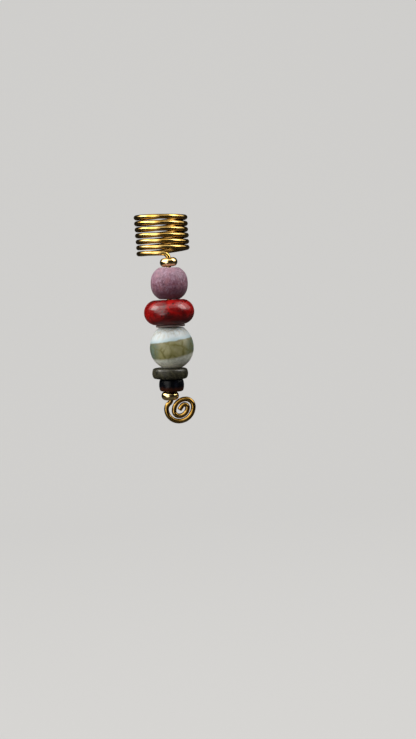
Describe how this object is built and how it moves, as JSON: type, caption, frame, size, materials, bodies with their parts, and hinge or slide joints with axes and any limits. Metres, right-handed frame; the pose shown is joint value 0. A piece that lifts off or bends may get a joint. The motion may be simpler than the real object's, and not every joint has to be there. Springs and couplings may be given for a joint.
{
  "type": "dreadlock bead",
  "caption": "Dreadlock bead: a gold wire coil that wraps the lock, with a hanging stack of wood, stone and shell beads between metal spacers, ended by a wire spiral.",
  "frame": {"origin": "middle of the coil's passage, where the lock goes through", "axes": "+Z along the coil's axis, up from the hanging beads; the beads and the spiral are at the front, -Y; +X is to the right seen from the front"},
  "size_m": [0.0124, 0.0176, 0.0484],
  "materials": {
    "gold_wire": "polished gold-coloured wire",
    "gold_spacer": "polished gold-coloured metal",
    "purple_wood": "matte stained wood with an upright grain",
    "red_stone": "polished red stone with fine dark flecks",
    "pale_shell": "satin shell",
    "banded_agate": "polished agate, frosty white with an olive crackled band",
    "grey_stone": "satin mottled grey-olive stone",
    "dark_glaze": "glossy blue-black glaze that turns reddish brown at the lower edge"
  },
  "bodies": {
    "root": {"wire": "gold_wire", "top_spacer": "gold_spacer", "purple_bead": "purple_wood", "red_bead": "red_stone", "shell_disc": "pale_shell", "agate_bead": "banded_agate", "grey_disc": "grey_stone", "dark_bead": "dark_glaze", "bottom_spacer": "gold_spacer"}
  },
  "joints": []
}
